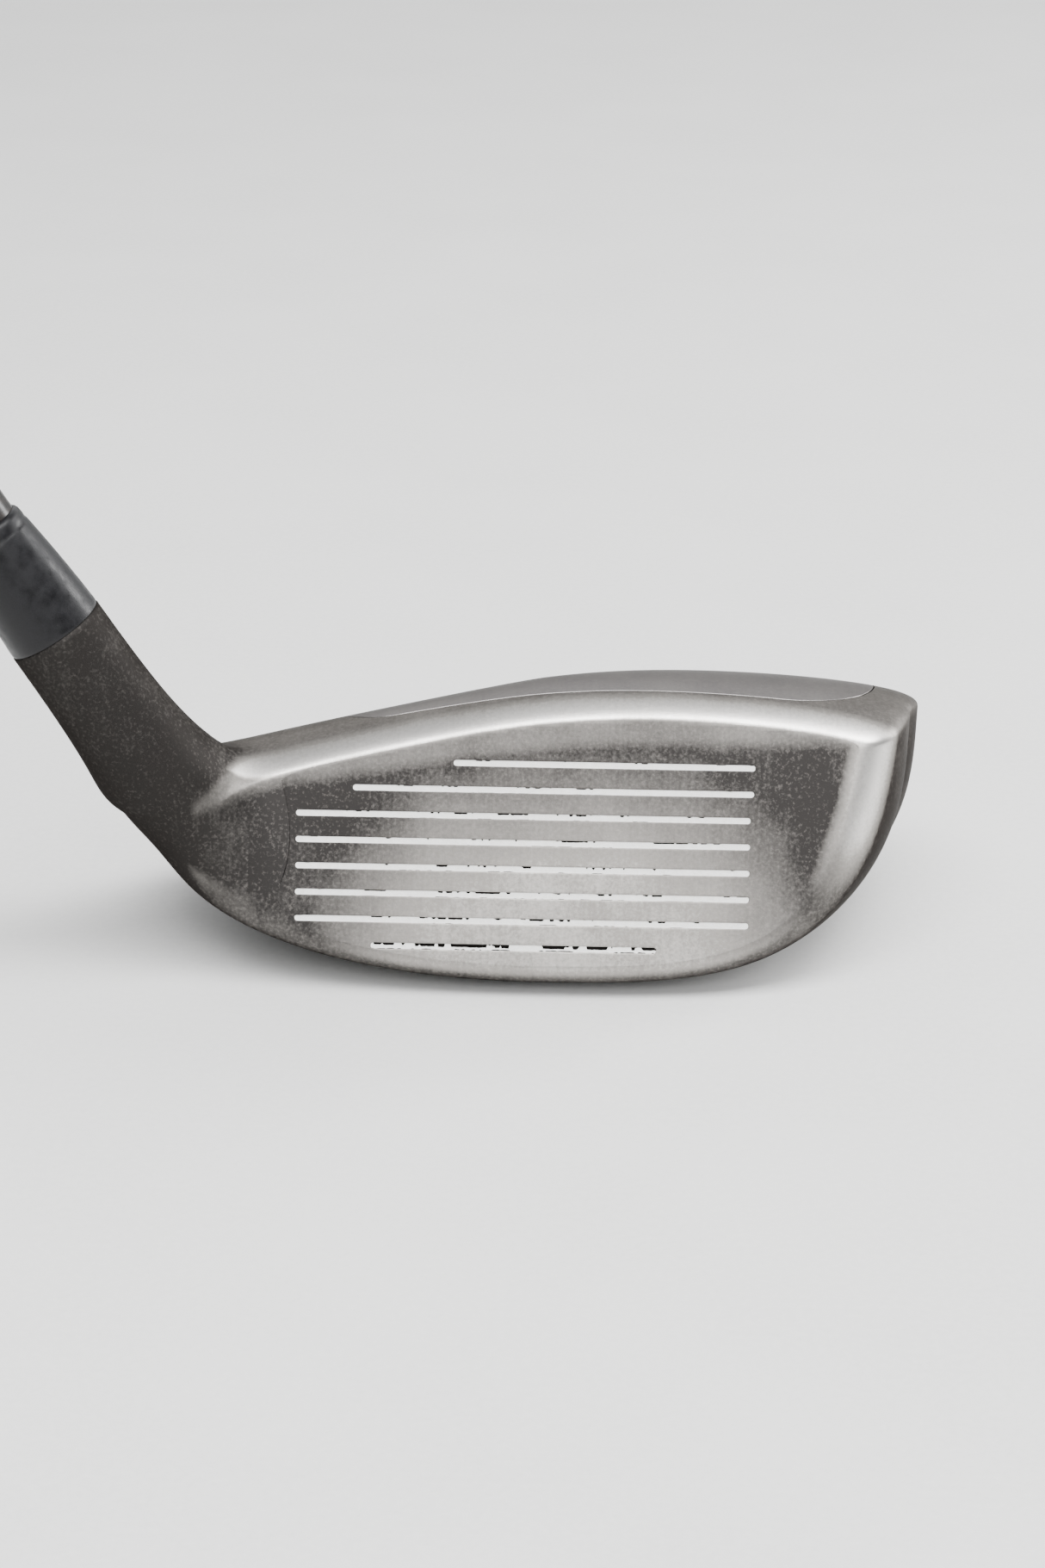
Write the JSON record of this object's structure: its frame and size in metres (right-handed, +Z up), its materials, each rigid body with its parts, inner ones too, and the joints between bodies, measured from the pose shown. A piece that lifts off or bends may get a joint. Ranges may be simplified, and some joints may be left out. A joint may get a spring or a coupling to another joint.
{
  "type": "hybrid golf club",
  "caption": "Left-handed hybrid golf club: hollow steel head with scored face and let-in crown, bonded ferrule, tapered graphite shaft and rubber grip.",
  "frame": {"origin": "on the ground at the flat of the sole, below the middle of the face", "axes": "+X from heel to toe, +Y from the face to the back of the head, +Z up; the shaft leans towards -X"},
  "size_m": [0.6443, 0.0606, 0.8682],
  "materials": {
    "cast_steel": "aged satin plating over cast stainless steel",
    "face_steel": "satin plating worn to bare steel low on the face",
    "crown_steel": "fine satin plating",
    "weight_steel": "as machined",
    "hot_melt": "soft",
    "plug_plastic": "moulded",
    "epoxy": "cured",
    "ferrule_plastic": "satin, turned flush",
    "graphite": "clear coated",
    "brass": "turned",
    "tape": "matt",
    "grip_rubber": "moulded, matt",
    "cap_rubber": "moulded, matt",
    "line_paint": "chipped enamel"
  },
  "bodies": {
    "root": {"head_body": "cast_steel", "face_plate": "face_steel", "crown_plate": "crown_steel", "sole_weight": "weight_steel", "damper_pad": "hot_melt", "hosel_plug": "plug_plastic", "epoxy_sleeve": "epoxy", "ferrule": "ferrule_plastic", "shaft": "graphite", "tip_weight": "brass", "grip_tape": "tape", "grip": "grip_rubber", "grip_cap": "cap_rubber", "score_line_1": "line_paint", "score_line_2": "line_paint", "score_line_3": "line_paint", "score_line_4": "line_paint", "score_line_5": "line_paint", "score_line_6": "line_paint", "score_line_7": "line_paint", "score_line_8": "line_paint"}
  },
  "joints": []
}
